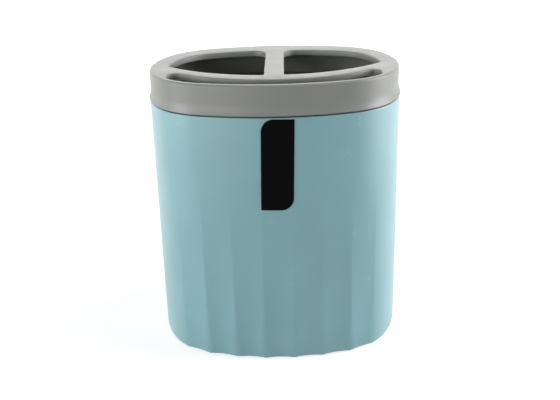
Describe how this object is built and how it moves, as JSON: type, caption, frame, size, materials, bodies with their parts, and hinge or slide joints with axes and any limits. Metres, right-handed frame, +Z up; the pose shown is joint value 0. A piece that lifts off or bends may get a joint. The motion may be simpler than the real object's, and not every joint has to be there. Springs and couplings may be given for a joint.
{
  "type": "toothbrush holder",
  "caption": "Oval plastic cup with a fluted lower wall and a lift-off lid whose brush openings and front slot hold toothbrushes and toothpaste upright.",
  "frame": {"origin": "middle of the underside, on the surface that the holder stands on", "axes": "+X across the front to the right, +Y from front to back, +Z up; the label faces -Y"},
  "size_m": [0.105, 0.0826, 0.1177],
  "materials": {
    "cup_plastic": "satin moulded polypropylene, light blue",
    "lid_plastic": "satin moulded polypropylene, warm grey",
    "label_vinyl": "smooth black vinyl sticker, blank"
  },
  "bodies": {
    "cup": {"cup": "cup_plastic", "label": "label_vinyl"},
    "lid": {"lid": "lid_plastic"}
  },
  "joints": [
    {"name": "lid_lift", "type": "slide", "parent": "cup", "child": "lid", "axis": [0, 0, 1], "range_m": [0, 0.04]}
  ]
}
